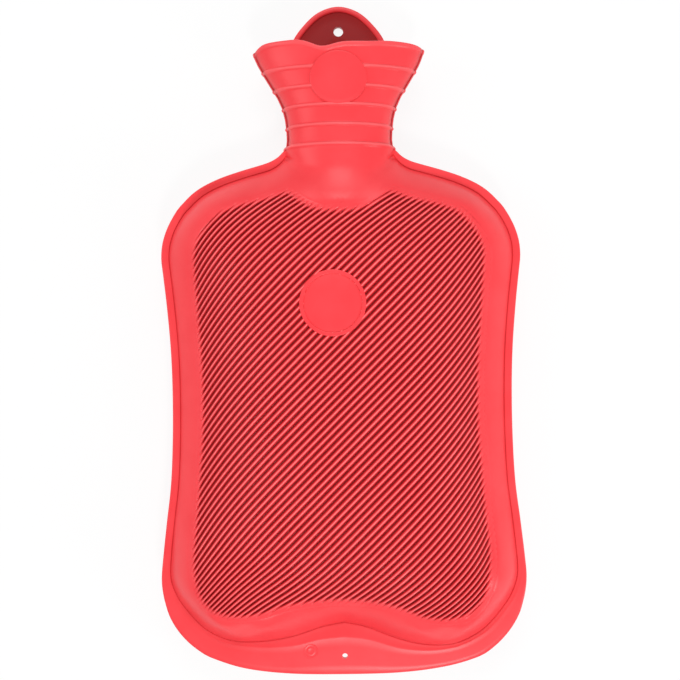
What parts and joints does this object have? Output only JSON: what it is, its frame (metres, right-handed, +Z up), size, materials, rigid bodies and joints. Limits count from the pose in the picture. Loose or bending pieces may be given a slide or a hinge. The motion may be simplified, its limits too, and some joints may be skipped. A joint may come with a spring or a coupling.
{
  "type": "hot water bottle",
  "caption": "Ribbed rubber hot water bottle with a funnel neck, a hanging tab and a screw stopper, lying on its back.",
  "frame": {"origin": "on the floor under the middle of the bottle's outline", "axes": "+X across the bottle, +Y from the foot towards the neck and tab, +Z up out of the ribbed front"},
  "size_m": [0.2, 0.371, 0.048],
  "materials": {
    "moulded_rubber": "satin moulded natural rubber, red",
    "socket_plastic": "moulded polypropylene, natural",
    "washer_rubber": "black sealing rubber",
    "stopper_plastic": "moulded polypropylene, dark red"
  },
  "bodies": {
    "bottle": {"ribbed_front": "moulded_rubber", "plain_back": "moulded_rubber", "neck_socket": "socket_plastic"},
    "washer": {"stopper_washer": "washer_rubber"},
    "stopper": {"stopper": "stopper_plastic"}
  },
  "joints": [
    {"name": "stopper_lift", "type": "slide", "parent": "bottle", "child": "washer", "axis": [0, 1, 0], "range_m": [0, 0.09]},
    {"name": "stopper_turn", "type": "hinge", "parent": "washer", "child": "stopper", "pos_m": [0, 0.121, 0.021], "axis": [0, 1, 0], "range_deg": [0, 6480]}
  ],
  "couplings": [
    {"joint": "stopper_lift", "follows": "stopper_turn", "m_per_rad": 0.00079577}
  ]
}
